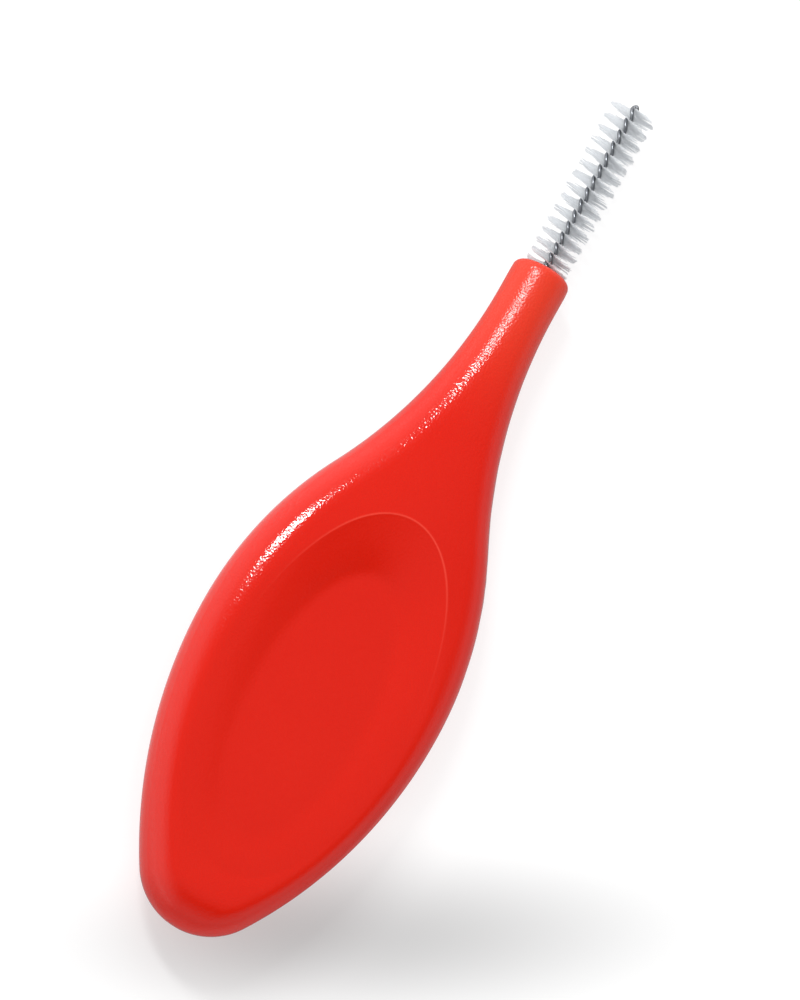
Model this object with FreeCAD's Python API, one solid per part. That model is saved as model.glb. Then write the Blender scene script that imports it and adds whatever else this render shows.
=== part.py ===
import FreeCAD, Part
import math
import os

# Interdental brush: a flat teardrop handle moulded in one piece around the shank of a twisted-wire brush.
# The brush is one stainless wire folded into a hairpin, its two legs twisted left-handed, and rows of
# nylon filaments pinched between the legs.
# The part lies on its back: X runs along the length towards the brush, Y across, Z up.
# The origin is under the middle of the whole length. Sizes are in millimetres.

# Handle
handle_length = 42.6
handle_width = 15.4
handle_thickness = 4.8
nose_radius = 4.0
belly_station = 16.5
shoulder_radius = 22.5
neck_diameter = 3.45
neck_length = 2.0
easing_station = 24.0
rim_split_angle = 83.0
rim_side_angle = 60.0
neck_edge_round = 0.5

# Thumb dish, one on each face
dish_station = 14.1
dish_length = 20.94
dish_rim_width = 1.95
dish_floor_height = 1.35
dish_floor_tilt = 1.6
dish_roll_radius = 14.0
dish_lip_slope = 13.0
dish_wall_slope = 21.0
dish_floor_round = 2.0

# Twisted wire
wire_diameter = 0.20
twist_half_pitch = 0.72
half_turns = 15
shank_half_turns = 5
tip_bend_height = 0.26
tip_bend_turn = 40.0
shank_clearance = 0.02
wire_sides = 6

# Filaments
filament_diameter = 0.06
filaments_per_half_turn = 9
filament_clearance = 0.012
brush_diameter_root = 2.65
brush_diameter_tip = 2.85
first_filament_gap = 0.08
filament_sides = 6

# Places worked out from the sizes above
free_wire_length = half_turns * twist_half_pitch + tip_bend_height + wire_diameter / 2
overall_length = handle_length + free_wire_length
base_x = -overall_length / 2
neck_end_x = base_x + handle_length
flare_end = handle_length - neck_length
axis_z = handle_thickness / 2
wire_radius = wire_diameter / 2
twist_radius = wire_radius + filament_diameter / 2 + filament_clearance
turn_per_mm = -math.pi / twist_half_pitch
twist_slope = math.atan(twist_radius * abs(turn_per_mm))

AXIAL = FreeCAD.Vector(1, 0, 0)


def point(station, across, height):
    """A point by its distance from the handle's base, its offset across and its height over the axis."""
    return FreeCAD.Vector(base_x + station, across, axis_z + height)


def plan_half_width(station):
    """Half the width of the handle: nose, belly and shoulder arcs, a hollow flare arc, then the neck."""
    half = handle_width / 2
    neck = neck_diameter / 2
    rise = belly_station - nose_radius
    belly_radius = (rise ** 2 + half ** 2 - nose_radius ** 2) / (2 * (half - nose_radius))
    nose_end = nose_radius - nose_radius * rise / (belly_radius - nose_radius)
    run = flare_end - belly_station
    both_radii = (run ** 2 + (half - neck) ** 2) / (2 * (half - neck))
    flare_radius = both_radii - shoulder_radius
    shoulder_end = belly_station + run * shoulder_radius / both_radii
    if station <= nose_end:
        return math.sqrt(nose_radius ** 2 - (nose_radius - station) ** 2)
    if station <= belly_station:
        return half - belly_radius + math.sqrt(belly_radius ** 2 - (station - belly_station) ** 2)
    if station <= shoulder_end:
        return half - shoulder_radius + math.sqrt(shoulder_radius ** 2 - (station - belly_station) ** 2)
    if station <= flare_end:
        return neck + flare_radius - math.sqrt(flare_radius ** 2 - (station - flare_end) ** 2)
    return neck


def half_thickness(station):
    """Half the handle's thickness: a round end, an even body, and an easing down to the neck."""
    body = handle_thickness / 2
    neck = neck_diameter / 2
    if station < body:
        return math.sqrt(body ** 2 - (body - station) ** 2)
    if station <= easing_station:
        return body
    share = min((station - easing_station) / (flare_end - easing_station), 1.0)
    return body + (neck - body) * share * share * (3 - 2 * share)


def oval(station):
    """The handle's cross-section: two end arcs and two flatter arcs, all tangent, a circle at the neck."""
    wide = plan_half_width(station)
    thick = half_thickness(station)
    split = math.radians(rim_split_angle)
    side = math.radians(rim_side_angle)
    between = (wide - thick) / (math.sin(split) + math.cos(split) - 1)
    end_radius = wide - between * math.cos(split)

    def on_end(angle, end):
        across = wide - end_radius + end_radius * math.cos(angle)
        return point(station, end * across, end * end_radius * math.sin(angle))

    arcs = []
    for end in (1, -1):
        for first, last in ((-split, -side), (-side, side), (side, split)):
            arcs.append(Part.Arc(on_end(first, end), on_end((first + last) / 2, end), on_end(last, end)))
        arcs.append(Part.Arc(on_end(split, end), point(station, 0, end * thick), on_end(-split, -end)))
    return Part.Wire([arc.toShape() for arc in arcs])


def handle_blank():
    """The handle before its dishes and bore: a loft through ovals, with a round neck on its end."""
    body = handle_thickness / 2
    nose_steps = 6
    body_steps = 18
    first_angle = math.radians(6)
    stations = []
    for i in range(nose_steps):
        angle = first_angle + (math.pi / 2 - first_angle) * i / nose_steps
        stations.append(body * (1 - math.cos(angle)))
    for i in range(body_steps + 1):
        stations.append(body + (flare_end - body) * i / body_steps)
    loft = Part.makeLoft([oval(s) for s in stations], True, True)
    neck = Part.makeCylinder(neck_diameter / 2, neck_length, point(flare_end, 0, 0), AXIAL)
    rims = [e for e in neck.Edges if e.Closed and abs(e.CenterOfMass.x - neck_end_x) < 1e-6]
    neck = neck.makeFillet(neck_edge_round, rims)
    return loft.fuse(neck).removeSplitter()


def ellipse_wire(inset, height, tilt):
    """The dish's outline drawn in by a margin, at a height over the axis, tilted about its neck end."""
    long_half = dish_length / 2 - inset
    short_half = handle_width / 2 - dish_rim_width - inset
    centre = point(dish_station, 0, height)
    edge = Part.Ellipse(centre, long_half, short_half).toShape()
    edge.rotate(point(dish_station + dish_length / 2, 0, height), FreeCAD.Vector(0, 1, 0), tilt)
    return Part.Wire([edge])


def dish_tool():
    """What the upper dish takes away: a floor that rises to the base, a wall rolled down to it, an open top."""
    lip = math.radians(dish_lip_slope)
    wall = math.radians(dish_wall_slope)
    roll_run = dish_roll_radius * (math.sin(wall) - math.sin(lip))
    roll_drop = dish_roll_radius * (math.cos(lip) - math.cos(wall))
    round_run = dish_floor_round * math.sin(wall)
    round_rise = dish_floor_round * (1 - math.cos(wall))
    lip_height = dish_floor_height + round_rise + roll_drop
    tilt_per_drop = dish_floor_tilt / (lip_height - dish_floor_height)
    round_steps = 3
    roll_steps = 4
    rings = []
    for i in range(round_steps + 1):
        slope = wall * i / round_steps
        inset = roll_run + round_run - dish_floor_round * math.sin(slope)
        height = dish_floor_height + dish_floor_round * (1 - math.cos(slope))
        rings.append(ellipse_wire(inset, height, tilt_per_drop * (lip_height - height)))
    for i in range(1, roll_steps + 1):
        slope = wall + (lip - wall) * i / roll_steps
        inset = dish_roll_radius * (math.sin(slope) - math.sin(lip))
        height = lip_height - dish_roll_radius * (math.cos(lip) - math.cos(slope))
        rings.append(ellipse_wire(inset, height, tilt_per_drop * (lip_height - height)))
    bowl = Part.makeLoft(rings, True, True)
    clear_rise = handle_thickness / 2
    outset = -clear_rise / math.tan(lip)
    top = Part.makeLoft([rings[-1], ellipse_wire(outset, lip_height + clear_rise, 0)], True, True)
    return bowl.fuse(top)


def handle():
    """The moulded handle with a dish on each face and the bore that its plastic leaves round the shank."""
    blank = handle_blank()
    upper = dish_tool()
    lower = upper.mirror(point(0, 0, 0), FreeCAD.Vector(0, 0, 1))
    bore_radius = twist_radius + wire_radius + shank_clearance
    bore_depth = shank_half_turns * twist_half_pitch + shank_clearance + wire_radius
    bore_end = handle_length - bore_depth
    bore = Part.makeCylinder(bore_radius, bore_depth, point(bore_end, 0, 0), AXIAL)
    return blank.cut(upper).cut(lower).cut(bore)


def round_outline(centre, way, first_corner, radius, sides):
    """A small circle drawn with straight sides, square to a direction."""
    across = way.cross(first_corner)
    corners = []
    for i in range(sides + 1):
        angle = 2 * math.pi * i / sides
        spoke = first_corner * math.cos(angle) + across * math.sin(angle)
        corners.append(centre + spoke * radius)
    return Part.makePolygon(corners)


def helix_point(run, side):
    """A place on one leg's centre line, by the distance past the neck's end, and the direction there."""
    angle = turn_per_mm * run + side * math.pi
    y = twist_radius * math.cos(angle)
    z = twist_radius * math.sin(angle)
    place = FreeCAD.Vector(neck_end_x + run, y, axis_z + z)
    swing = math.copysign(math.sin(twist_slope), turn_per_mm)
    way = FreeCAD.Vector(math.cos(twist_slope), -swing * math.sin(angle), swing * math.cos(angle))
    return place, way


def arc_by_tangents(start, corner, end):
    """The arc from start to end whose end tangents meet at the corner, which is equally far from both."""
    middle = (start + end) / 2
    half_chord = (end - start).Length / 2
    lean = math.acos(min(half_chord / (corner - start).Length, 1.0))
    crown = middle + (corner - middle) * (math.tan(lean / 2) / math.tan(lean))
    return Part.Arc(start, crown, end)


def biarc(start, start_way, end, end_way):
    """Two tangent arcs from one place and direction to another."""
    span = end - start
    both = start_way + end_way
    spread = 2 * (1 - start_way.dot(end_way))
    along = span.dot(both)
    reach = (math.sqrt(along ** 2 + spread * span.dot(span)) - along) / spread
    first_corner = start + start_way * reach
    second_corner = end - end_way * reach
    joint = (first_corner + second_corner) / 2
    return [arc_by_tangents(start, first_corner, joint), arc_by_tangents(joint, second_corner, end)]


def leg_arcs(side):
    """One leg of the wire from the end of its shank to the top of the hairpin, a quarter turn at a time."""
    quarters = 2 * (half_turns + shank_half_turns)
    quarter = twist_half_pitch / 2
    arcs = []
    place, way = helix_point(-shank_half_turns * twist_half_pitch, side)
    for i in range(1, quarters + 1):
        next_place, next_way = helix_point(-shank_half_turns * twist_half_pitch + i * quarter, side)
        arcs += biarc(place, way, next_place, next_way)
        place, way = next_place, next_way
    tip = FreeCAD.Vector(place.x + tip_bend_height, 0, axis_z)
    inward = FreeCAD.Vector(0, -place.y, axis_z - place.z).normalize()
    turned = FreeCAD.Rotation(AXIAL, math.copysign(tip_bend_turn, turn_per_mm)).multVec(inward)
    return arcs + biarc(place, way, tip, turned)


def twisted_wire():
    """The hairpin: up one leg, round the bend at the tip and down the other leg, as one tube."""
    up = leg_arcs(0)
    down = leg_arcs(1)
    edges = [a.toShape() for a in up] + [a.toShape() for a in reversed(down)]
    tightest = min(e.Curve.Radius for e in edges)
    path = Part.Wire(Part.__sortEdges__(edges))
    start, way = helix_point(-shank_half_turns * twist_half_pitch, 0)
    outward = FreeCAD.Vector(0, start.y, start.z - axis_z).normalize()
    section = round_outline(start, way, outward, wire_radius, wire_sides)
    tube = path.makePipeShell([section], True, False)
    section_area = wire_sides / 2 * wire_radius ** 2 * math.sin(2 * math.pi / wire_sides)
    expected = path.Length * section_area
    print("wire length %.2f mm, volume %.4f of %.4f mm3" % (path.Length, tube.Volume, expected))
    print("tightest bend of the wire's middle %.3f mm, wire radius %.3f mm" % (tightest, wire_radius))
    return tube


def filament_row(row):
    """The filaments of one half turn: straight, across the axis, square to the legs at their own station."""
    spacing = twist_half_pitch / filaments_per_half_turn
    brush_run = half_turns * twist_half_pitch
    filaments = []
    for i in range(filaments_per_half_turn):
        run = first_filament_gap + row * twist_half_pitch + i * spacing
        diameter = brush_diameter_root + (brush_diameter_tip - brush_diameter_root) * run / brush_run
        angle = turn_per_mm * run + math.pi / 2
        way = FreeCAD.Vector(0, math.cos(angle), math.sin(angle))
        middle = FreeCAD.Vector(neck_end_x + run, 0, axis_z)
        end = middle - way * (diameter / 2)
        outline = round_outline(end, way, AXIAL, filament_diameter / 2, filament_sides)
        filaments.append(Part.Face(outline).extrude(way * diameter))
    return Part.makeCompound(filaments)


def main():
    os.makedirs("parts", exist_ok=True)
    nodes = {"handle": handle(), "twisted_wire": twisted_wire()}
    for row in range(half_turns):
        nodes["filament_row_%02d" % (row + 1)] = filament_row(row)
    for name, shape in nodes.items():
        shape.exportStep("parts/%s.step" % name)
        print(name, len(shape.Solids), "solids,", round(shape.Volume, 4), "mm3, valid", shape.isValid())


main()
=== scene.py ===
# %% [markdown]
# An interdental brush: a red moulded handle, a little shorter than a thumb, and a fine twisted wire that
# carries rows of nylon filaments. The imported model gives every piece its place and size. This lesson
# dresses it: each piece is rebuilt as a smooth mesh on the same axes, gets a finish, and is lit and looked
# at like a product on a white table.

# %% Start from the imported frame
import math
import random

import bmesh
import bpy
from mathutils import Matrix, Quaternion, Vector


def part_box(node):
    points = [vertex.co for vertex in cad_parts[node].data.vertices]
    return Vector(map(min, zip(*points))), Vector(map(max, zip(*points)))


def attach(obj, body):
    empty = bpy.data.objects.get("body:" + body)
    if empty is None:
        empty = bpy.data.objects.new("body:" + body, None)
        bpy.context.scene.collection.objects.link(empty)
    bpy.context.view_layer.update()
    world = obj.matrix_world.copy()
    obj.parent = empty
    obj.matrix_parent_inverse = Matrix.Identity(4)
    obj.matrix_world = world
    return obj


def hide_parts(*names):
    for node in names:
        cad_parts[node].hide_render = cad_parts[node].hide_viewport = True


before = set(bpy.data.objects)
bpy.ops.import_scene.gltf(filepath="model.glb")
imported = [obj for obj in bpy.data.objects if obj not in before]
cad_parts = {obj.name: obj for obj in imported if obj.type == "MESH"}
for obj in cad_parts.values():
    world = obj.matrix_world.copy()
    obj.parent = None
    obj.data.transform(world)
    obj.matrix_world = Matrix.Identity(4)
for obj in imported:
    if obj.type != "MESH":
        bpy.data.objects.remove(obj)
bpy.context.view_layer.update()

MM = 0.001

# %% [markdown]
# Every piece is modelled in millimetres, because that is how such a small thing is drawn. One function
# scales the mesh to metres and turns its faces outwards. Another shades it smooth, gives it its finish and
# ties it to the solid that it stands for. The mesh carries its own place, and the object stays at the
# origin.

# %% A finished piece
def mesh_from(name, shape):
    """Turns a bmesh in millimetres into a mesh in metres, with its faces pointing outwards."""
    bmesh.ops.recalc_face_normals(shape, faces=shape.faces)
    bmesh.ops.scale(shape, vec=(MM, MM, MM), verts=shape.verts)
    mesh = bpy.data.meshes.new(name)
    shape.to_mesh(mesh)
    shape.free()
    return mesh


def finish_piece(name, mesh, material, slot, *solids):
    """Makes the object of a piece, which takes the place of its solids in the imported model."""
    mesh.materials.clear()
    mesh.materials.append(material)
    mesh.shade_smooth()
    piece = bpy.data.objects.new(name, mesh)
    bpy.context.scene.collection.objects.link(piece)
    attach(piece, "root")
    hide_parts(*solids)
    triangles = sum(len(face.vertices) - 2 for face in mesh.polygons)
    print(name, "has", triangles, "triangles")


# %% [markdown]
# The camera comes first, because it decides how much detail each piece needs. The photograph looks as if
# it was taken from far away with a long lens, looking down on the face of the handle with the brush
# pointing to the upper right. A camera could be aimed by eye, but three angles say it exactly: the way
# round the object, the height over the table, and the roll of the picture.

# %% Camera
view_azimuth = -138.23
view_elevation = 70.27
view_roll = 79.29
view_distance = 450.0
lens = 291.7
sensor_width = 36
aim_right = -0.55
aim_up = 0.56

handle_low, handle_high = [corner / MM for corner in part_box("handle")]
axis_height = (handle_low.z + handle_high.z) / 2
around = math.radians(view_azimuth)
above = math.radians(view_elevation)
towards_viewer = Vector((math.sin(around) * math.cos(above),
                         -math.cos(around) * math.cos(above),
                         math.sin(above)))
picture_roll = Quaternion((0, 0, 1), math.radians(view_roll))
camera_turn = (-towards_viewer).to_track_quat("-Z", "Y") @ picture_roll
picture_right = camera_turn @ Vector((1, 0, 0))
picture_up = camera_turn @ Vector((0, 1, 0))

camera_data = bpy.data.cameras.new("camera")
camera_data.lens = lens
camera_data.sensor_width = sensor_width
camera = bpy.data.objects.new("camera", camera_data)
bpy.context.scene.collection.objects.link(camera)
aim = Vector((0, 0, axis_height)) + picture_right * aim_right + picture_up * aim_up
camera.location = (aim + towards_viewer * view_distance) * MM
camera.rotation_mode = "QUATERNION"
camera.rotation_quaternion = camera_turn
bpy.context.scene.camera = camera
print("camera looks from", [round(c, 3) for c in towards_viewer])

# %% [markdown]
# Finishes are node trees. They could be drawn by hand in the editor, but a script can be read and changed.
# One function adds a node, sets it and links it, and one turns the hex colour that a maker would quote into
# the linear colour that a shader works in.

# %% Helpers for finishes
def hex_colour(code):
    """An sRGB hex colour as linear red, green, blue and alpha."""
    linear = []
    for start in (1, 3, 5):
        value = int(code[start:start + 2], 16) / 255
        linear.append(value / 12.92 if value <= 0.04045 else ((value + 0.055) / 1.055) ** 2.4)
    return (*linear, 1.0)


def add_node(owner, kind, settings=None, values=None, links=None):
    """Adds a node with its settings. Values and links, from (node, output), go by socket name or number."""
    tree = owner.node_tree
    node = tree.nodes.new(kind)
    for name, value in (settings or {}).items():
        setattr(node, name, value)
    for name, value in (values or {}).items():
        node.inputs[name].default_value = value
    for name, (source, output) in (links or {}).items():
        tree.links.new(source.outputs[output], node.inputs[name])
    return node


def new_material(name):
    material = bpy.data.materials.new(name)
    material.use_nodes = True
    material.node_tree.nodes.clear()
    return material


def per_metre(size_mm):
    """The texture scale that gives features of about this size."""
    return 1 / (size_mm * MM)


def finish_material(material, shader, output="BSDF"):
    add_node(material, "ShaderNodeOutputMaterial", links={"Surface": (shader, output)})
    print("finish:", material.name)
    return material


# %% [markdown]
# The handle is polypropylene, injection moulded in a polished steel tool. It could be one plain red with a
# roughness, but then every streak of light would have a clean edge, like lacquer. So noise at three sizes
# drives it: the pigment wanders where the plastic flowed, the surface is slightly wavy where it shrank, and
# a fine orange peel breaks the edge of a reflection into grains. Toward the thin neck the red is painted
# lighter, a painted glow for the light that comes through the thin plastic, and the gloss is more broken, so
# the painted glow, the roughness and the depth of the grain grow that way. A painted highlight, a pale hair
# line, marks the crisp end of the dish's edge, and a little light goes into the plastic and comes out beside.

# %% Red polypropylene, injection moulded
flow_size = 6.0
wave_size = 2.2
wave_depth = 0.004
# Real orange peel is finer than this. It is drawn as coarse as it needs to be to show.
peel_size = 0.125
peel_depth = 0.0165
# The grain deepens and the plastic thins between these places along X, from the middle of the object.
grain_from = -2.0
grain_to = 8.0
grain_on_body = 0.66
grain_on_neck = 1.1
thin_from = 4.0
thin_to = 16.0
# How strongly the painted glow, for light through the thin neck, lightens the red.
thin_painted_glow = 0.8
thin_roughness = 0.18
light_spread = 0.4


def make_polypropylene():
    # To the eye: a deep even red, a hard gloss, and streaks of light with grainy edges.
    material = new_material("red_polypropylene_moulded")
    place = add_node(material, "ShaderNodeTexCoord")
    along = add_node(material, "ShaderNodeSeparateXYZ", links={"Vector": (place, "Object")})
    flow = add_node(material, "ShaderNodeTexNoise",
                    values={"Scale": per_metre(flow_size), "Detail": 3.0},
                    links={"Vector": (place, "Object")})
    colour = add_node(material, "ShaderNodeMix", settings={"data_type": "RGBA"},
                      values={"A": hex_colour("#D01704"), "B": hex_colour("#D61B05")},
                      links={"Factor": (flow, "Fac")})
    thinness = add_node(material, "ShaderNodeMapRange", settings={"interpolation_type": "SMOOTHSTEP"},
                        values={"From Min": thin_from * MM, "From Max": thin_to * MM, "To Max": thin_painted_glow},
                        links={"Value": (along, "X")})
    # Painted glow: the red turns lighter and more orange toward the thin neck, where light comes through the
    # plastic.
    glow_painted = add_node(material, "ShaderNodeMix", settings={"data_type": "RGBA"},
                      values={"B": hex_colour("#DA3A20")},
                      links={"Factor": (thinness, "Result"), "A": (colour, "Result")})
    # Painted highlight: a paler red along the crisp edge of the dish, where the handle's sheet marks it.
    edge = add_node(material, "ShaderNodeAttribute", settings={"attribute_name": "painted_edge_highlight"})
    edge_highlighted = add_node(material, "ShaderNodeMix", settings={"data_type": "RGBA"},
                     values={"B": hex_colour("#E44030")},
                     links={"Factor": (edge, "Fac"), "A": (glow_painted, "Result")})
    gloss = add_node(material, "ShaderNodeMapRange", values={"To Min": 0.09, "To Max": 0.15},
                     links={"Value": (flow, "Fac")})
    roughness = add_node(material, "ShaderNodeMath", settings={"operation": "MULTIPLY_ADD"},
                         values={1: thin_roughness},
                         links={0: (thinness, "Result"), 2: (gloss, "Result")})
    wave = add_node(material, "ShaderNodeTexNoise",
                    values={"Scale": per_metre(wave_size), "Detail": 1.0},
                    links={"Vector": (place, "Object")})
    broad = add_node(material, "ShaderNodeBump",
                     values={"Strength": 1.0, "Distance": wave_depth * MM},
                     links={"Height": (wave, "Fac")})
    peel = add_node(material, "ShaderNodeTexNoise",
                    values={"Scale": per_metre(peel_size), "Detail": 0.0},
                    links={"Vector": (place, "Object")})
    grain = add_node(material, "ShaderNodeMapRange",
                     values={"From Min": grain_from * MM, "From Max": grain_to * MM,
                             "To Min": grain_on_body, "To Max": grain_on_neck},
                     links={"Value": (along, "X")})
    fine = add_node(material, "ShaderNodeBump", values={"Distance": peel_depth * MM},
                    links={"Height": (peel, "Fac"), "Strength": (grain, "Result"),
                           "Normal": (broad, "Normal")})
    shader = add_node(material, "ShaderNodeBsdfPrincipled",
                      values={"IOR": 1.49, "Subsurface Weight": 0.06,
                              "Subsurface Radius": (1.0, 0.12, 0.08),
                              "Subsurface Scale": light_spread * MM},
                      links={"Base Color": (edge_highlighted, "Result"), "Roughness": (roughness, "Value"),
                             "Normal": (fine, "Normal")})
    return finish_material(material, shader)


polypropylene = make_polypropylene()

# %% [markdown]
# The wire is stainless steel, drawn through a die until it is a fifth of a millimetre thick. A plain metal
# would mirror the room too cleanly, so fine noise stands for the marks that the die leaves: it varies the
# roughness and lifts the surface by less than a thousandth of a millimetre.

# %% Drawn stainless wire
# Real draw marks are finer than this. They are drawn coarser, so that they break the shine.
draw_mark_size = 0.03
draw_mark_depth = 0.0006


def make_steel():
    # To the eye: a thin grey line with soft glints where the twist turns to the light.
    material = new_material("stainless_steel_drawn")
    place = add_node(material, "ShaderNodeTexCoord")
    marks = add_node(material, "ShaderNodeTexNoise",
                     values={"Scale": per_metre(draw_mark_size), "Detail": 2.0},
                     links={"Vector": (place, "Object")})
    gloss = add_node(material, "ShaderNodeMapRange", values={"To Min": 0.24, "To Max": 0.34},
                     links={"Value": (marks, "Fac")})
    relief = add_node(material, "ShaderNodeBump",
                      values={"Strength": 0.6, "Distance": draw_mark_depth * MM},
                      links={"Height": (marks, "Fac")})
    shader = add_node(material, "ShaderNodeBsdfPrincipled",
                      values={"Base Color": hex_colour("#96999E"), "Metallic": 1.0},
                      links={"Roughness": (gloss, "Result"), "Normal": (relief, "Normal")})
    return finish_material(material, shader)


steel = make_steel()

# %% [markdown]
# The filaments are extruded nylon, clear in one strand and milky in a tuft. Real refraction in hundreds of
# strands would be slow and full of noise. So half of the light is scattered through each strand instead,
# and rays that don't come from the camera mostly pass straight on. The inside of the tuft stays bright, as
# it does in a real one.

# %% Extruded nylon
strand_haze_size = 0.25
scattered_share = 0.5
passing_share = 0.62


def make_nylon():
    # To the eye: a pale milky tuft with single strands just showing in it.
    material = new_material("nylon_extruded_filament")
    place = add_node(material, "ShaderNodeTexCoord")
    haze = add_node(material, "ShaderNodeTexNoise",
                    values={"Scale": per_metre(strand_haze_size), "Detail": 2.0},
                    links={"Vector": (place, "Object")})
    colour = add_node(material, "ShaderNodeMix", settings={"data_type": "RGBA"},
                      values={"A": hex_colour("#DFE2E5"), "B": hex_colour("#EDEFF1")},
                      links={"Factor": (haze, "Fac")})
    surface = add_node(material, "ShaderNodeBsdfPrincipled", values={"IOR": 1.53, "Roughness": 0.38},
                       links={"Base Color": (colour, "Result")})
    through = add_node(material, "ShaderNodeBsdfTranslucent", links={"Color": (colour, "Result")})
    milky = add_node(material, "ShaderNodeMixShader", values={"Fac": scattered_share},
                     links={1: (surface, "BSDF"), 2: (through, "BSDF")})
    ray = add_node(material, "ShaderNodeLightPath")
    passing = add_node(material, "ShaderNodeMapRange", values={"To Min": passing_share, "To Max": 0.0},
                       links={"Value": (ray, "Is Camera Ray")})
    clear = add_node(material, "ShaderNodeBsdfTransparent")
    shader = add_node(material, "ShaderNodeMixShader",
                      links={"Fac": (passing, "Result"), 1: (milky, "Shader"), 2: (clear, "BSDF")})
    return finish_material(material, shader, "Shader")


nylon = make_nylon()

# %% [markdown]
# The handle's outline is a chain of tangent arcs: a small nose, a long belly, a shoulder, a hollow flare
# and the straight neck. Its thickness stays even and then eases down to the neck. At each station along the
# handle the cross-section is an oval of four tangent arcs, which becomes a circle at the neck. A curve
# drawn by hand could give much the same outline, but arcs take their sizes straight from the solid.

# %% Outline and cross-section of the handle
handle_length = 42.6
handle_width = 15.4
handle_thickness = 4.8
nose_radius = 4.0
belly_station = 16.5
shoulder_radius = 22.5
neck_diameter = 3.45
neck_length = 2.0
easing_station = 24.0
rim_split = math.radians(83.0)
base_x = handle_high.x - handle_length
flare_end = handle_length - neck_length
half_body = handle_thickness / 2
half_neck = neck_diameter / 2


def half_width(station):
    half = handle_width / 2
    rise = belly_station - nose_radius
    belly_radius = (rise ** 2 + half ** 2 - nose_radius ** 2) / (2 * (half - nose_radius))
    nose_end = nose_radius - nose_radius * rise / (belly_radius - nose_radius)
    run = flare_end - belly_station
    both_radii = (run ** 2 + (half - half_neck) ** 2) / (2 * (half - half_neck))
    flare_radius = both_radii - shoulder_radius
    shoulder_end = belly_station + run * shoulder_radius / both_radii
    if station <= nose_end:
        return math.sqrt(nose_radius ** 2 - (nose_radius - station) ** 2)
    if station <= belly_station:
        return half - belly_radius + math.sqrt(belly_radius ** 2 - (station - belly_station) ** 2)
    if station <= shoulder_end:
        return half - shoulder_radius + math.sqrt(shoulder_radius ** 2 - (station - belly_station) ** 2)
    if station <= flare_end:
        return half_neck + flare_radius - math.sqrt(flare_radius ** 2 - (station - flare_end) ** 2)
    return half_neck


def eased(share):
    """A share from 0 to 1 that starts and stops gently."""
    return share * share * (3 - 2 * share)


def half_thickness(station):
    if station < half_body:
        return math.sqrt(half_body ** 2 - (half_body - station) ** 2)
    if station <= easing_station:
        return half_body
    share = min((station - easing_station) / (flare_end - easing_station), 1.0)
    return half_body + (half_neck - half_body) * eased(share)


class Oval:
    """A quarter of the cross-section, measured along it from the side of the rim to mid-face."""

    def __init__(self, station):
        self.wide = half_width(station)
        self.thick = half_thickness(station)
        between = (self.wide - self.thick) / (math.sin(rim_split) + math.cos(rim_split) - 1)
        self.end_radius = self.wide - between * math.cos(rim_split)
        self.face_radius = self.end_radius + between
        self.end_length = self.end_radius * rim_split
        self.quarter_length = self.end_length + self.face_radius * (math.pi / 2 - rim_split)

    def place(self, length):
        """The offset across and the height at a length along the quarter."""
        if length <= self.end_length:
            angle = length / self.end_radius
            across = self.wide - self.end_radius + self.end_radius * math.cos(angle)
            return across, self.end_radius * math.sin(angle)
        angle = rim_split + (length - self.end_length) / self.face_radius
        height = self.thick - self.face_radius + self.face_radius * math.sin(angle)
        return self.face_radius * math.cos(angle), height


print("widest half width, mm:", round(half_width(belly_station), 2))

# %% [markdown]
# The thumb dish is an oval hollow. Its wall rolls over from nearly level at the edge to its steepest just
# above the floor, and a small round joins it to the floor. The floor is flat and rises to the base, where
# the dish runs out. A lattice could press such a hollow in, but its edge would be vague. Here the height of
# the dish depends on how far a point lies inside the dish's outline, so that distance is found first, by
# halving an interval, and then the depth is let down along the handle.

# %% Thumb dish
dish_station = 14.1
dish_length = 20.94
dish_rim_width = 1.95
dish_floor_height = 1.35
dish_floor_tilt = math.radians(1.6)
dish_roll_radius = 14.0
dish_floor_round = 2.0
lip_slope = math.radians(13.0)
wall_slope = math.radians(21.0)
outside_reach = 4.0
halvings = 30
dish_half_length = dish_length / 2
dish_half_width = handle_width / 2 - dish_rim_width
dish_end = dish_station + dish_half_length
roll_run = dish_roll_radius * (math.sin(wall_slope) - math.sin(lip_slope))
round_run = dish_floor_round * math.sin(wall_slope)
wall_foot = dish_floor_height + dish_floor_round * (1 - math.cos(wall_slope))
lip_height = wall_foot + dish_roll_radius * (math.cos(lip_slope) - math.cos(wall_slope))


def halve(inside, low, high):
    """The place between low and high where a test stops being true."""
    for _ in range(halvings):
        middle = (low + high) / 2
        if inside(middle):
            low = middle
        else:
            high = middle
    return low


def dish_inset(station, across):
    """How far a point lies inside the dish's outline, as far as the edge of its floor."""
    along = station - dish_station

    def within(inset):
        return (along / (dish_half_length - inset)) ** 2 + (across / (dish_half_width - inset)) ** 2 < 1

    return halve(within, -outside_reach, roll_run + round_run)


def dish_drop(inset):
    """How far the wall has gone down under the lip."""
    if inset < roll_run:
        slope = math.asin(math.sin(lip_slope) + inset / dish_roll_radius)
        return dish_roll_radius * (math.cos(lip_slope) - math.cos(slope))
    slope = math.asin((roll_run + round_run - inset) / dish_floor_round)
    return lip_height - dish_floor_height - dish_floor_round * (1 - math.cos(slope))


def dish_height(station, across):
    inset = dish_inset(station, across)
    if inset < 0:
        return lip_height - inset * math.tan(lip_slope)
    rise = (dish_end - station) * math.tan(dish_floor_tilt)
    return lip_height - dish_drop(inset) * (1 - rise / (lip_height - dish_floor_height))


print("dish is", round(half_body - dish_floor_height, 2), "mm deep at the neck end")

# %% [markdown]
# The edge of the dish is the line that the eye follows. It is soft at the base, where the dish runs out,
# and crisp at the neck end, where the dish is deepest and its edge carries a fine bead and a painted
# highlight, a hair line of paler red. A bevel would be equally round all the way, so the face and the dish
# are blended by height instead, over a width that changes along the edge.

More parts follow.
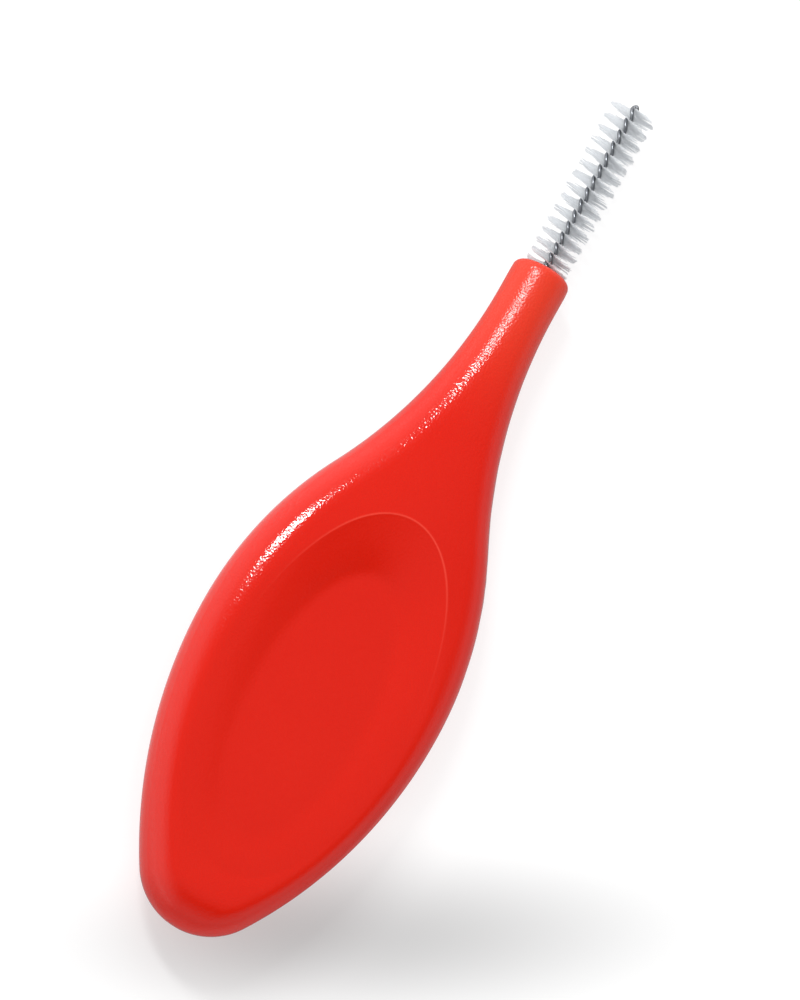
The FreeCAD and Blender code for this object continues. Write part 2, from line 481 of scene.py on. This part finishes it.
# %% Edge of the dish
edge_round_base = 0.40
edge_round_neck = 0.03
edge_soft_until = 14.0
bead_height = 0.012
bead_spread = 0.02
# The painted highlight along the crisp edge of the dish: its width, its fading toward the base and its reach.
highlight_spread = 0.012
highlight_fading = 3
highlight_reach_across = 1.0
highlight_reach_along = 3.0


def crispness(station):
    """From nothing at the soft base end of the dish's edge to 1 at its neck end."""
    return min(max((station - edge_soft_until) / (dish_end - edge_soft_until), 0.0), 1.0)


def blended_height(oval_height, hollow_height, station):
    """The lower of two heights, rounded where they are close, with a fine bead where they cross."""
    share = crispness(station)
    blend = edge_round_base + (edge_round_neck - edge_round_base) * eased(share)
    apart = oval_height - hollow_height
    overlap = max(blend - abs(apart), 0.0) / blend
    lift = bead_height * share * math.exp(-(apart / bead_spread) ** 2)
    return min(oval_height, hollow_height) - overlap * overlap * blend / 4 + lift


def painted_edge_highlight(station, across):
    """How much of the painted highlight a point gets, by how near it lies to the crisp edge of the dish."""
    if abs(across) > dish_half_width + highlight_reach_across or station > dish_end + highlight_reach_along:
        return 0.0
    oval = Oval(station)
    face_height = oval.thick - oval.face_radius + math.sqrt(oval.face_radius ** 2 - across ** 2)
    apart = face_height - dish_height(station, across)
    return crispness(station) ** highlight_fading * math.exp(-(apart / highlight_spread) ** 2)


print("edge of the dish is rounded from", edge_round_base, "to", edge_round_neck, "mm")

# %% [markdown]
# The handle could be a solid with a hollow cut out of it by a boolean, but a cut leaves ragged faces along
# the edge of the dish. So the handle is one sheet of quads, rolled round the axis: each row is a
# cross-section, and one column of every row is set exactly on the edge of the dish. The rows are close
# together where the edge turns across the handle.

# %% Rows and columns of the handle's sheet
rim_columns = 34
dish_columns = 40
column_easing = 1.15
narrowest_dish = 0.6
side_height = half_neck / 2
neck_edge_round = 0.5
first_row_angle = math.radians(6)
nose_sweep = 1.0
nose_gap = 0.08
edge_margin_base = 0.5
edge_margin_inside = 0.9
edge_margin_neck = 0.6
nose_rows = 12
base_rows = 6
base_edge_rows = 40
dish_rows = 110
neck_edge_rows = 44
neck_rows = 60


def edge_length(oval, station):
    """The length along the quarter at which the face meets the dish."""

    def outside_dish(length):
        across, height = oval.place(length)
        return across > narrowest_dish and height < dish_height(station, across)

    return halve(outside_dish, 0.0, oval.quarter_length)


def quarter_row(station):
    """Offsets and heights of one quarter of a cross-section: the rim, then the dish."""
    oval = Oval(station)
    edge = edge_length(oval, station)
    row = []
    for column in range(rim_columns + dish_columns + 1):
        if column <= rim_columns:
            across, height = oval.place(edge * column / rim_columns)
        else:
            inward = ((column - rim_columns) / dish_columns) ** column_easing
            across, height = oval.place(edge + (oval.quarter_length - edge) * inward)
        if height > side_height:
            height = blended_height(height, dish_height(station, across), station)
        row.append((across, height))
    return row


def spaced(first, last, count):
    return [first + (last - first) * i / count for i in range(count)]


def handle_stations():
    """Stations from the base to the neck, close together at both ends of the dish."""
    nose_angles = [first_row_angle + angle for angle in spaced(0, nose_sweep, nose_rows)]
    nose = [half_body * (1 - math.cos(angle)) for angle in nose_angles]
    lip_reach = (half_body - lip_height) / math.tan(lip_slope)
    base_edge = dish_station - dish_half_length - lip_reach
    neck_edge = dish_end + lip_reach
    return (nose + spaced(nose[-1] + nose_gap, base_edge - edge_margin_base, base_rows)
            + spaced(base_edge - edge_margin_base, base_edge + edge_margin_inside, base_edge_rows)
            + spaced(base_edge + edge_margin_inside, neck_edge - edge_margin_inside, dish_rows)
            + spaced(neck_edge - edge_margin_inside, neck_edge + edge_margin_neck, neck_edge_rows)
            + spaced(neck_edge + edge_margin_neck, handle_length - neck_edge_round, neck_rows))


stations = handle_stations()
print(len(stations), "stations of", 4 * (rim_columns + dish_columns), "columns")

# %% [markdown]
# Now the sheet is made: a flat grid from one operator, every corner moved to its place, and the doubled
# corners merged along the seam and at the two poles. A fine parting line is lifted along the side, where
# the two halves of the mould met. After the last cross-section the sheet turns over the rounded end of the
# neck and goes down the bore that the plastic leaves round the wire.

# %% Handle
parting_height = 0.8
parting_rise = 0.022
parting_spread = 0.07
bore_radius = 0.262
bore_depth = 3.72
bore_lip = 0.06
edge_steps = 8
merge_distance = 1e-5


def full_ring(quarter):
    """Four mirrored quarters make one closed ring, which starts at the side of the rim."""
    right_top = quarter
    left_top = [(-across, height) for across, height in reversed(quarter[:-1])]
    left_bottom = [(-across, -height) for across, height in quarter[1:]]
    right_bottom = [(across, -height) for across, height in reversed(quarter[1:-1])]
    return right_top + left_top + left_bottom + right_bottom


def with_parting_line(ring, station):
    """Lifts a fine seam on the side of the rim."""
    seam = parting_height * half_thickness(station) / half_body
    lifted = []
    for across, height in ring:
        lift = parting_rise * math.exp(-((height - seam) / parting_spread) ** 2)
        far = abs(across) > half_width(station) / 2
        lifted.append((across + math.copysign(lift if far else 0.0, across), height))
    return lifted


def neck_end_rings(quarter):
    """The rounded end of the neck, its flat face and the bore, as stations and scaled rings."""
    steps = []
    for i in range(1, edge_steps + 1):
        angle = math.pi / 2 * i / edge_steps
        radius = half_neck - neck_edge_round * (1 - math.cos(angle))
        steps.append((handle_length - neck_edge_round * (1 - math.sin(angle)), radius))
    steps += [(handle_length, bore_radius + 3 * bore_lip), (handle_length, bore_radius + bore_lip)]
    steps += [(handle_length - bore_lip, bore_radius), (handle_length - bore_depth, bore_radius)]
    steps.append((handle_length - bore_depth, 0.0))
    rings = []
    for station, radius in steps:
        scale = radius / half_neck
        rings.append((station, full_ring([(across * scale, height * scale) for across, height in quarter])))
    return rings


def make_handle():
    rings = [(stations[0], [(0.0, 0.0)] * 4 * (rim_columns + dish_columns))]
    for station in stations:
        rings.append((station, with_parting_line(full_ring(quarter_row(station)), station)))
    rings += neck_end_rings(quarter_row(handle_length - neck_edge_round))
    rows = len(rings) - 1
    columns = len(rings[0][1])
    sheet = bmesh.new()
    bmesh.ops.create_grid(sheet, x_segments=rows, y_segments=columns, size=0.5)
    # Each corner keeps its share of the painted highlight on the dish's edge.
    line = sheet.verts.layers.float.new("painted_edge_highlight")
    for corner in sheet.verts:
        station, ring = rings[round((corner.co.x + 0.5) * rows)]
        across, height = ring[round((corner.co.y + 0.5) * columns) % columns]
        corner.co = (base_x + station, across, axis_height + height)
        if abs(height) > side_height and station > edge_soft_until:
            corner[line] = painted_edge_highlight(station, across)
    bmesh.ops.remove_doubles(sheet, verts=sheet.verts, dist=merge_distance)
    finish_piece("handle_moulding", mesh_from("handle_moulding", sheet), polypropylene,
                 "handle_plastic", "handle")


make_handle()

# %% [markdown]
# The brush wire is one hairpin whose legs are twisted round each other. The twist is tight where the neck
# grips it and opens out along the brush. A helix with its radius let down to nothing over the last bend
# describes a whole leg, and the other leg is the same line half a turn on. A ring could be extruded along
# it step by step, but a curve with a round bevel is the natural tube for wire, so the line becomes a curve
# and the curve becomes a mesh.

# %% Brush wire
wire_radius = 0.10
wire_roundness = 4
twist_radius = 0.142
half_turns = 15
shank_half_turns = 9
open_pitch = 0.771
neck_pitch = 0.40
pitch_easing = 2.2
tip_bend = 0.24
points_per_half_turn = 14
neck_end_x = base_x + handle_length


def run_at(turns):
    """How far along the axis a number of half turns reaches."""
    if turns < 0:
        return neck_pitch * turns
    held_back = (open_pitch - neck_pitch) * pitch_easing
    return open_pitch * turns - held_back * (1 - math.exp(-turns / pitch_easing))


def leg_points(side):
    """The middle of one leg, from the end of its shank to the top of the bend."""
    places = []
    for i in range((half_turns + shank_half_turns) * points_per_half_turn + 1):
        turns = i / points_per_half_turn - shank_half_turns
        places.append((run_at(turns), turns, twist_radius))
    for i in range(1, points_per_half_turn + 1):
        angle = math.pi / 2 * i / points_per_half_turn
        rise = tip_bend * math.sin(angle)
        turns = half_turns + rise / open_pitch
        places.append((run_at(half_turns) + rise, turns, twist_radius * math.cos(angle)))
    points = []
    for run, turns, radius in places:
        turn = (side - turns) * math.pi
        across = radius * math.cos(turn)
        points.append(Vector((neck_end_x + run, across, axis_height + radius * math.sin(turn))))
    return points


def make_wire():
    line = leg_points(0) + leg_points(1)[-2::-1]
    curve = bpy.data.curves.new("wire_line", "CURVE")
    curve.dimensions = "3D"
    curve.bevel_depth = wire_radius * MM
    curve.bevel_resolution = wire_roundness
    curve.use_fill_caps = True
    spline = curve.splines.new("POLY")
    spline.points.add(len(line) - 1)
    for spline_point, place in zip(spline.points, line):
        spline_point.co = (*(place * MM), 1.0)
    holder = bpy.data.objects.new("wire_line", curve)
    mesh = bpy.data.meshes.new_from_object(holder)
    bpy.data.objects.remove(holder)
    mesh.name = "brush_wire"
    finish_piece("brush_wire", mesh, steel, "wire_steel", "twisted_wire")


make_wire()

# %% [markdown]
# Each half turn of the wire pinches a row of filaments. They cross the axis and turn with the wire, so a
# row looks like a leaf from the side. Real ones are not even: a row bunches toward its middle and leans,
# lengths differ a little, and neighbours cling together in clumps. Hair particles could do this, but they
# have no real ends and no solid thickness. So one short five-sided tube is copied for every strand, and
# each copy is bent into place. The random numbers are seeded, so the brush comes out the same every time.

# %% Filament rows
strands_per_row = 44
strand_radius = 0.028
strand_taper = 0.35
strand_cuts = 7
strand_sides = 5
brush_radius_root = 1.36
brush_radius_tip = 1.48
first_turn = 0.12
row_lean = 0.223
fan_bunching = 1.4
place_jitter = 0.3
clump_size = 4
clump_pull = 0.6
clump_lean_spread = 0.035
clump_shortest = 0.92
strand_shortest = 0.94
strand_lean_spread = 0.025
strand_droop_spread = 0.05
brush_seed = 7
chance = random.Random(brush_seed)


def strand_template(shape):
    """A tube from -1 to 1 along Z, with a few rings to bend at."""
    bmesh.ops.create_cone(shape, cap_ends=True, segments=strand_sides, radius1=1, radius2=1, depth=2)
    long_edges = [edge for edge in shape.edges if abs(edge.verts[0].co.z - edge.verts[1].co.z) > 1]
    bmesh.ops.subdivide_edges(shape, edges=long_edges, cuts=strand_cuts)
    return shape.verts[:] + shape.edges[:] + shape.faces[:]


def corners_of(parts):
    return [part for part in parts if isinstance(part, bmesh.types.BMVert)]


def bend_strand(corners, turns, fan_turns, clump_turns, reach, lean, droop):
    """Moves one copy of the tube to its place. Reach, lean and droop have a value for each of its ends."""
    angle = math.pi / 2 - math.pi * fan_turns
    outward = Vector((-row_lean * math.sin(angle), math.cos(angle), math.sin(angle)))
    sideways = Vector((0, -math.sin(angle), math.cos(angle)))
    clump_drift = (run_at(clump_turns) - run_at(turns)) * clump_pull
    for corner in corners:
        along = corner.co.z
        end = along > 0
        far = along * along
        drift = (clump_drift + lean[end]) * far
        thickness = strand_radius * (1 - strand_taper * far)
        middle = Vector((neck_end_x + run_at(turns) + drift, 0, axis_height))
        middle += outward * (along * reach[end]) + sideways * (droop[end] * far)
        middle += Vector((corner.co.x * thickness, 0, 0))
        corner.co = middle + sideways * (corner.co.y * thickness)


def make_row(row):
    shape = bmesh.new()
    template = strand_template(shape)
    row_start = first_turn + row
    middle_turns = row_start + 0.5
    for i in range(strands_per_row):
        copied = bmesh.ops.duplicate(shape, geom=template)["geom"]
        turns = row_start + (i + chance.uniform(-place_jitter, place_jitter)) / strands_per_row
        clump_turns = row_start + (i // clump_size + 0.5) * clump_size / strands_per_row
        radius = brush_radius_root + (brush_radius_tip - brush_radius_root) * turns / half_turns
        side = 2 * (turns - middle_turns)
        fan_turns = middle_turns + math.copysign(abs(side) ** fan_bunching, side) / 2
        if i % clump_size == 0:
            clump_lean = [chance.gauss(0, clump_lean_spread) for _ in range(2)]
            clump_reach = [chance.uniform(clump_shortest, 1.0) for _ in range(2)]
        reach = [radius * share * chance.uniform(strand_shortest, 1.0) for share in clump_reach]
        lean = [chance.gauss(bias, strand_lean_spread) for bias in clump_lean]
        droop = [chance.gauss(0, strand_droop_spread) for _ in range(2)]
        bend_strand(corners_of(copied), turns, fan_turns, clump_turns, reach, lean, droop)
    bmesh.ops.delete(shape, geom=corners_of(template), context="VERTS")
    number = "%02d" % (row + 1)
    name = "filaments_" + number
    finish_piece(name, mesh_from(name, shape), nylon, "filament_nylon", "filament_row_" + number)


for row in range(half_turns):
    make_row(row)

# %% [markdown]
# The floor is a sheet of white acrylic lit from below, as on a product photographer's table. A plain white
# floor would show the handle's shadow all round it, but here the light from below fills that in, and the
# floor is plain white in the picture. Inside one soft oval by the base of the handle the light is let down,
# a painted shadow that is the pale shade on the floor. Reflections see a darker sheet, a painted shade,
# except far out to the left of the picture: that keeps the right side of the rim a deep red and gives the
# left side its pale band.

# %% White table
table_reach = 600.0
backlight = 0.70
backlight_shaded = 0.26
# The middle of the painted shadow, from the middle of the object, and its reach, both in the plane of the
# picture.
shade_down = 23.6
shade_right = -1.1
shade_wide = 24.0
shade_high = 6.6
# How much of the sheet reflections see, near the axis and far to the left. A share over 1 counts as 1.
mirrored_near = 0.40
mirrored_far = 1.1
near_edge = 2.0
far_edge = 15.0


def make_acrylic():
    # To the eye: an even glowing white with one soft grey painted shadow.
    material = new_material("white_acrylic_backlit")
    place = add_node(material, "ShaderNodeTexCoord")
    shade_middle = (picture_right * shade_right - picture_up * shade_down) * MM
    offset = add_node(material, "ShaderNodeVectorMath", settings={"operation": "SUBTRACT"},
                      values={1: shade_middle}, links={0: (place, "Object")})
    right = add_node(material, "ShaderNodeVectorMath", settings={"operation": "DOT_PRODUCT"},
                     values={1: picture_right / (shade_wide * MM)}, links={0: (offset, "Vector")})
    up = add_node(material, "ShaderNodeVectorMath", settings={"operation": "DOT_PRODUCT"},
                  values={1: picture_up / (shade_high * MM)}, links={0: (offset, "Vector")})
    oval = add_node(material, "ShaderNodeCombineXYZ", links={"X": (right, "Value"), "Y": (up, "Value")})
    away = add_node(material, "ShaderNodeVectorMath", settings={"operation": "LENGTH"},
                    links={0: (oval, "Vector")})
    # Painted shadow: the light from below is let down inside the oval.
    light = add_node(material, "ShaderNodeMapRange", settings={"interpolation_type": "SMOOTHSTEP"},
                     values={"To Min": backlight_shaded, "To Max": backlight},
                     links={"Value": (away, "Value")})
    sheet = add_node(material, "ShaderNodeBsdfPrincipled",
                     values={"Base Color": hex_colour("#A0A0A0"), "Roughness": 0.8, "IOR": 1.3,
                             "Emission Color": (1, 1, 1, 1)},
                     links={"Emission Strength": (light, "Result")})
    dark = add_node(material, "ShaderNodeBsdfDiffuse", values={"Color": (0, 0, 0, 1)})
    across = add_node(material, "ShaderNodeSeparateXYZ", links={"Vector": (place, "Object")})
    dimmed = add_node(material, "ShaderNodeMapRange",
                      values={"From Min": near_edge * MM, "From Max": far_edge * MM,
                              "To Min": 1 - mirrored_near, "To Max": 1 - mirrored_far},
                      links={"Value": (across, "Y")})
    ray = add_node(material, "ShaderNodeLightPath")
    dark_share = add_node(material, "ShaderNodeMix", values={"A": 0.0},
                          links={"Factor": (ray, "Is Glossy Ray"), "B": (dimmed, "Result")})
    seen = add_node(material, "ShaderNodeMixShader",
                    links={"Fac": (dark_share, "Result"), 1: (sheet, "BSDF"), 2: (dark, "BSDF")})
    return finish_material(material, seen, "Shader")


def make_table():
    shape = bmesh.new()
    bmesh.ops.create_grid(shape, x_segments=2, y_segments=2, size=table_reach)
    floor = bpy.data.objects.new("table", mesh_from("table", shape))
    floor.data.materials.append(make_acrylic())
    bpy.context.scene.collection.objects.link(floor)
    print("table reaches", table_reach, "mm each way")


make_table()

# %% [markdown]
# The room is a plain pale studio, seen as white behind the table. Dull surfaces get a glow from it that is
# stronger from the walls than from overhead. Reflections see it dim overhead, which keeps the red deep, and
# bright along the walls, which draws the pale bands down the sides of the handle. A picture of a studio
# could do the same, but a few sums on the direction of a ray need no file and can be changed one by one.

# %% Room
glow_overhead = 0.56
glow_walls = 0.88
backdrop_glow = 1.05
# Heights of a ray's direction, from 0 when it is level to 1 overhead, where the walls start and are full.
wall_top = 0.86
wall_full = 0.16
# The brightest way in each reflection, and the glow of the ceiling and the walls from its far side to it.
bright_corner = (0.45, 0.65, 0.60)
bright_wall = (0.30, 0.95, 0.0)
mirrored_ceiling = {"From Min": -0.05, "From Max": 0.45, "To Min": 0.03, "To Max": 0.29}
mirrored_walls = {"From Min": -0.3, "From Max": 0.8, "To Min": 0.55, "To Max": 1.15}


def make_room():
    room = bpy.data.worlds.new("studio_room")
    room.use_nodes = True
    room.node_tree.nodes.clear()
    way = add_node(room, "ShaderNodeTexCoord")
    cornerwards = add_node(room, "ShaderNodeVectorMath", settings={"operation": "DOT_PRODUCT"},
                           values={1: bright_corner}, links={0: (way, "Generated")})
    ceiling = add_node(room, "ShaderNodeMapRange", values=mirrored_ceiling,
                       links={"Value": (cornerwards, "Value")})
    wallwards = add_node(room, "ShaderNodeVectorMath", settings={"operation": "DOT_PRODUCT"},
                         values={1: bright_wall}, links={0: (way, "Generated")})
    walls = add_node(room, "ShaderNodeMapRange", values=mirrored_walls,
                     links={"Value": (wallwards, "Value")})
    height = add_node(room, "ShaderNodeSeparateXYZ", links={"Vector": (way, "Generated")})
    near_walls = add_node(room, "ShaderNodeMapRange", settings={"interpolation_type": "SMOOTHSTEP"},
                          values={"From Min": wall_top, "From Max": wall_full},
                          links={"Value": (height, "Z")})
    mirrored = add_node(room, "ShaderNodeMix",
                        links={"Factor": (near_walls, "Result"), "A": (ceiling, "Result"),
                               "B": (walls, "Result")})
    dull = add_node(room, "ShaderNodeMapRange", values={"To Min": glow_overhead, "To Max": glow_walls},
                    links={"Value": (near_walls, "Result")})
    ray = add_node(room, "ShaderNodeLightPath")
    glow = add_node(room, "ShaderNodeMix",
                    links={"Factor": (ray, "Is Glossy Ray"), "A": (dull, "Result"),
                           "B": (mirrored, "Result")})
    seen = add_node(room, "ShaderNodeMix", values={"B": backdrop_glow},
                    links={"Factor": (ray, "Is Camera Ray"), "A": (glow, "Result")})
    sky = add_node(room, "ShaderNodeBackground", values={"Color": (1, 1, 1, 1)},
                   links={"Strength": (seen, "Result")})
    add_node(room, "ShaderNodeOutputWorld", links={"Surface": (sky, "Background")})
    bpy.context.scene.world = room
    print("room:", room.name)


make_room()

# %% [markdown]
# Three lamps model the form. A broad soft one overhead and a low one by the foot of the picture only light
# the plastic and aren't mirrored in it. The third is a narrow bright strip, and its mirror image is the
# white streak that runs down the neck and over the shoulder. Spots would give hard shadows, so all three
# are area lamps.

# %% Lamps
def add_softbox(name, towards, wide_way, distance, width, height, power, in_reflections):
    """A lamp at a distance in millimetres, turned to the middle of the object. Its width lies along a way."""
    lamp_data = bpy.data.lights.new(name, "AREA")
    lamp_data.shape = "RECTANGLE"
    lamp_data.size = width * MM
    lamp_data.size_y = height * MM
    lamp_data.energy = power
    lamp = bpy.data.objects.new(name, lamp_data)
    back = Vector(towards).normalized()
    up = back.cross(Vector(wide_way)).normalized()
    lamp.location = (Vector((0, 0, axis_height)) + back * distance) * MM
    lamp.rotation_mode = "QUATERNION"
    lamp.rotation_quaternion = Matrix((up.cross(back), up, back)).transposed().to_quaternion()
    lamp.visible_glossy = in_reflections
    bpy.context.scene.collection.objects.link(lamp)
    print("lamp:", name)


add_softbox("broad_overhead", towards=(0.50, 0.45, 0.74), wide_way=(1, 0, 0), distance=100,
            width=80, height=80, power=0.024, in_reflections=False)
add_softbox("bright_strip", towards=(0.38, 0.62, 0.69), wide_way=(1, 0, 0), distance=250,
            width=28, height=85, power=0.35, in_reflections=True)
add_softbox("low_fill", towards=(-0.55, -0.70, 0.45), wide_way=(0, 0, 1), distance=120,
            width=60, height=120, power=0.014, in_reflections=False)
bpy.context.scene.view_settings.view_transform = "Standard"
